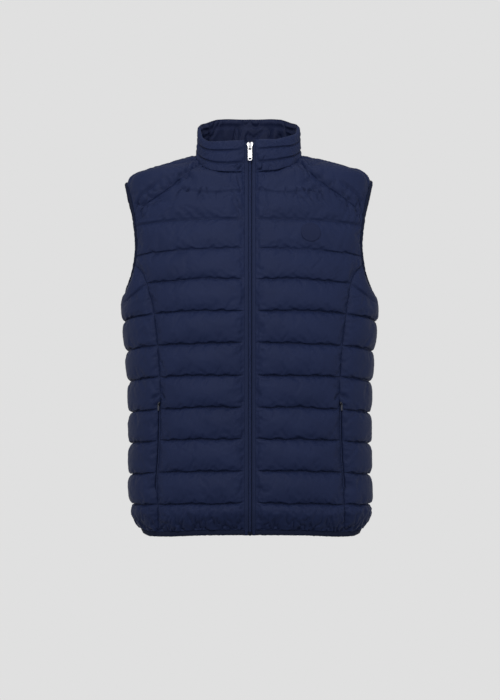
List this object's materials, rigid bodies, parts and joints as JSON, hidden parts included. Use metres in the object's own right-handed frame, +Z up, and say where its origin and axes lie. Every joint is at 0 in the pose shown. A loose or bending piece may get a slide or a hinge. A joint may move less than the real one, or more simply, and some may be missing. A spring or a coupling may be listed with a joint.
{
  "type": "quilted vest",
  "caption": "Light padded sleeveless vest with level quilted rows, a stand collar, a full front zip and two side pockets, filled out as worn with nobody inside.",
  "frame": {"origin": "on the centre line, at the height where the collar meets the shoulders, where the vest hangs on its wearer", "axes": "+Z up to the collar, front faces -Y, +X is the wearer's left"},
  "size_m": [0.4598, 0.2496, 0.7677],
  "materials": {
    "quilted_cloth": "smooth woven nylon over light filling",
    "elastic_binding": "narrow elastic binding, matte",
    "zip_tape": "woven tape",
    "zip_coil": "dyed nylon coil",
    "bright_metal": "bright cast metal",
    "dark_metal": "dark plated cast metal",
    "patch": "plain tone-on-tone round"
  },
  "bodies": {
    "garment": {"front_left": "quilted_cloth", "front_right": "quilted_cloth", "side_left": "quilted_cloth", "side_right": "quilted_cloth", "shoulder_left": "quilted_cloth", "shoulder_right": "quilted_cloth", "back": "quilted_cloth", "collar": "quilted_cloth", "armhole_binding_left": "elastic_binding", "armhole_binding_right": "elastic_binding", "hem_binding": "elastic_binding", "zip_tape_left": "zip_tape", "zip_tape_right": "zip_tape", "pocket_zip_left": "zip_tape", "pocket_zip_right": "zip_tape", "zip_coil": "zip_coil", "zip_slider": "bright_metal", "zip_box": "dark_metal", "chest_patch": "patch", "pocket_slider_left": "dark_metal", "pocket_slider_right": "dark_metal"},
    "zip_pull": {"zip_pull_tab": "bright_metal"},
    "pocket_pull_left": {"pocket_pull_tab_left": "dark_metal"},
    "pocket_pull_right": {"pocket_pull_tab_right": "dark_metal"}
  },
  "joints": [
    {"name": "zip_pull_swing", "type": "hinge", "parent": "garment", "child": "zip_pull", "pos_m": [0, -0.07025, -0.00183], "axis": [-1, 0, 0], "range_deg": [0, 165]},
    {"name": "pocket_pull_left_swing", "type": "hinge", "parent": "garment", "child": "pocket_pull_left", "pos_m": [0.15848, -0.08866, -0.44951], "axis": [-0.8677, -0.4971, 0], "range_deg": [0, 165]},
    {"name": "pocket_pull_right_swing", "type": "hinge", "parent": "garment", "child": "pocket_pull_right", "pos_m": [-0.15848, -0.08866, -0.44951], "axis": [-0.8677, 0.4971, 0], "range_deg": [0, 165]}
  ]
}
